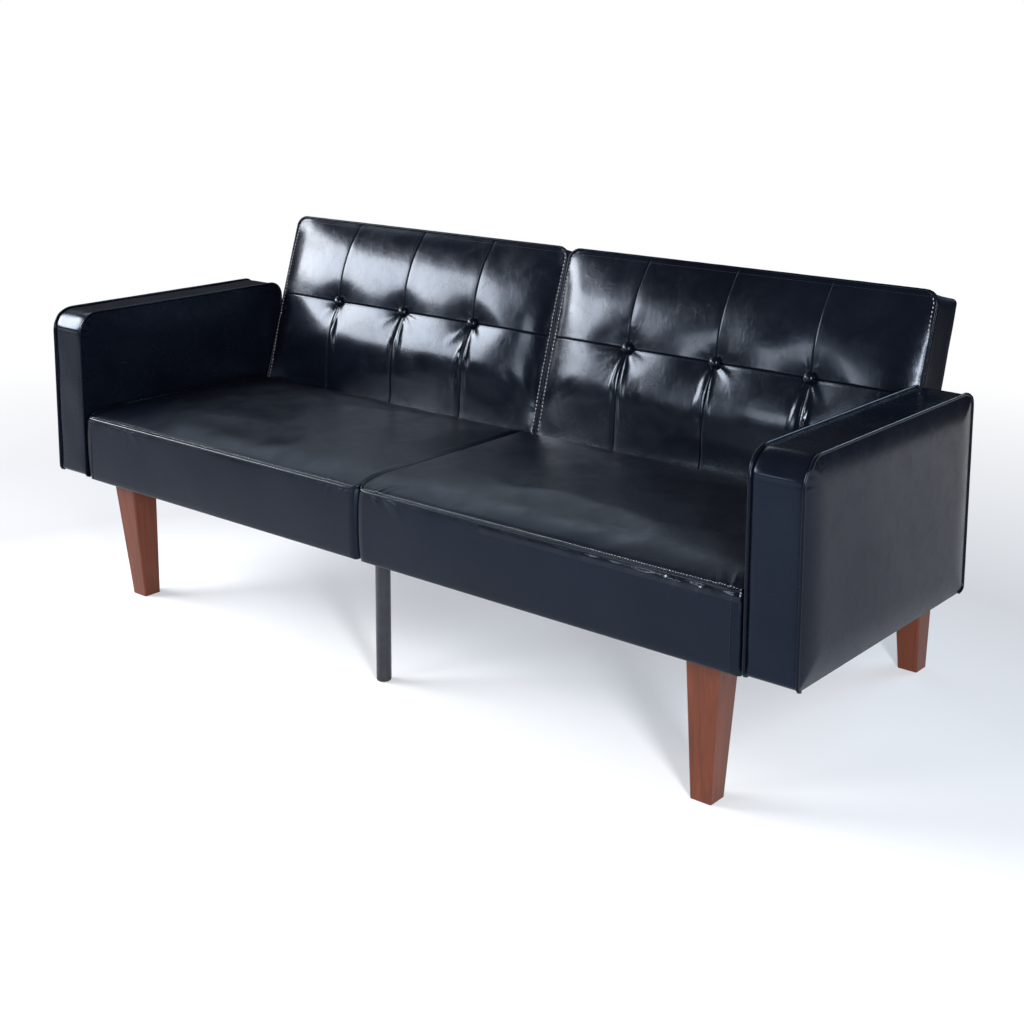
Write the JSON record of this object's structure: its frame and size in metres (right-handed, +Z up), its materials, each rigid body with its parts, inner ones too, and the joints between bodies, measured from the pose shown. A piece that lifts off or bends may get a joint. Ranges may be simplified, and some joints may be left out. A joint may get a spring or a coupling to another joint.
{
  "type": "futon sofa bed",
  "caption": "Split-back sofa bed with padded arms, tufted backs that recline flat on ratchet hinges, tapered wooden legs and steel centre legs.",
  "frame": {"origin": "centre of the footprint, on the floor", "axes": "+X to the sofa's right-hand end seen from the front, +Y towards the back, +Z up"},
  "size_m": [1.88, 0.836, 0.7798],
  "materials": {
    "leather": "gloss black faux leather over foam",
    "leg_wood": "reddish walnut stain, satin lacquer",
    "frame_timber": "raw pine and plywood",
    "wrapped_timber": "timber wrapped in black cloth",
    "black_steel": "black powder coat",
    "zinc_steel": "zinc plated",
    "foot_rubber": "matte black",
    "underside_cloth": "black non-woven cloth",
    "webbing": "elastic upholstery webbing"
  },
  "bodies": {
    "base": {"front_centre_leg": "black_steel", "front_centre_leg_foot": "foot_rubber", "left_arm_board": "frame_timber", "left_arm_pad": "leather", "left_dust_cover": "underside_cloth", "left_front_leg": "leg_wood", "left_inner_hinge_rivet": "zinc_steel", "left_inner_hinge_seat_plate": "zinc_steel", "left_leg_block": "frame_timber", "left_outer_hinge_rivet": "zinc_steel", "left_outer_hinge_seat_plate": "zinc_steel", "left_rear_leg": "leg_wood", "left_seat_front_rail": "frame_timber", "left_seat_inner_rail": "wrapped_timber", "left_seat_outer_rail": "wrapped_timber", "left_seat_pad": "leather", "left_seat_rear_rail": "frame_timber", "left_seat_webbing": "webbing", "rear_centre_leg": "black_steel", "rear_centre_leg_foot": "foot_rubber", "rear_cross_rail": "wrapped_timber", "right_arm_board": "frame_timber", "right_arm_pad": "leather", "right_dust_cover": "underside_cloth", "right_front_leg": "leg_wood", "right_inner_hinge_rivet": "zinc_steel", "right_inner_hinge_seat_plate": "zinc_steel", "right_leg_block": "frame_timber", "right_outer_hinge_rivet": "zinc_steel", "right_outer_hinge_seat_plate": "zinc_steel", "right_rear_leg": "leg_wood", "right_seat_front_rail": "frame_timber", "right_seat_inner_rail": "wrapped_timber", "right_seat_outer_rail": "wrapped_timber", "right_seat_pad": "leather", "right_seat_rear_rail": "frame_timber", "right_seat_webbing": "webbing"},
    "left_back": {"left_back_bottom_rail": "frame_timber", "left_back_button_1": "leather", "left_back_button_2": "leather", "left_back_button_3": "leather", "left_back_inner_rail": "frame_timber", "left_back_outer_rail": "frame_timber", "left_back_pad": "leather", "left_back_panel": "leather", "left_back_top_rail": "frame_timber", "left_inner_hinge_back_plate": "zinc_steel", "left_outer_hinge_back_plate": "zinc_steel"},
    "right_back": {"right_back_bottom_rail": "frame_timber", "right_back_button_1": "leather", "right_back_button_2": "leather", "right_back_button_3": "leather", "right_back_inner_rail": "frame_timber", "right_back_outer_rail": "frame_timber", "right_back_pad": "leather", "right_back_panel": "leather", "right_back_top_rail": "frame_timber", "right_inner_hinge_back_plate": "zinc_steel", "right_outer_hinge_back_plate": "zinc_steel"}
  },
  "joints": [
    {"name": "left_recline", "type": "hinge", "parent": "base", "child": "left_back", "pos_m": [0, 0.16387, 0.3515], "axis": [-1, 0, 0], "range_deg": [-10, 72.9]},
    {"name": "right_recline", "type": "hinge", "parent": "base", "child": "right_back", "pos_m": [0, 0.16387, 0.3515], "axis": [-1, 0, 0], "range_deg": [-10, 72.9]}
  ]
}
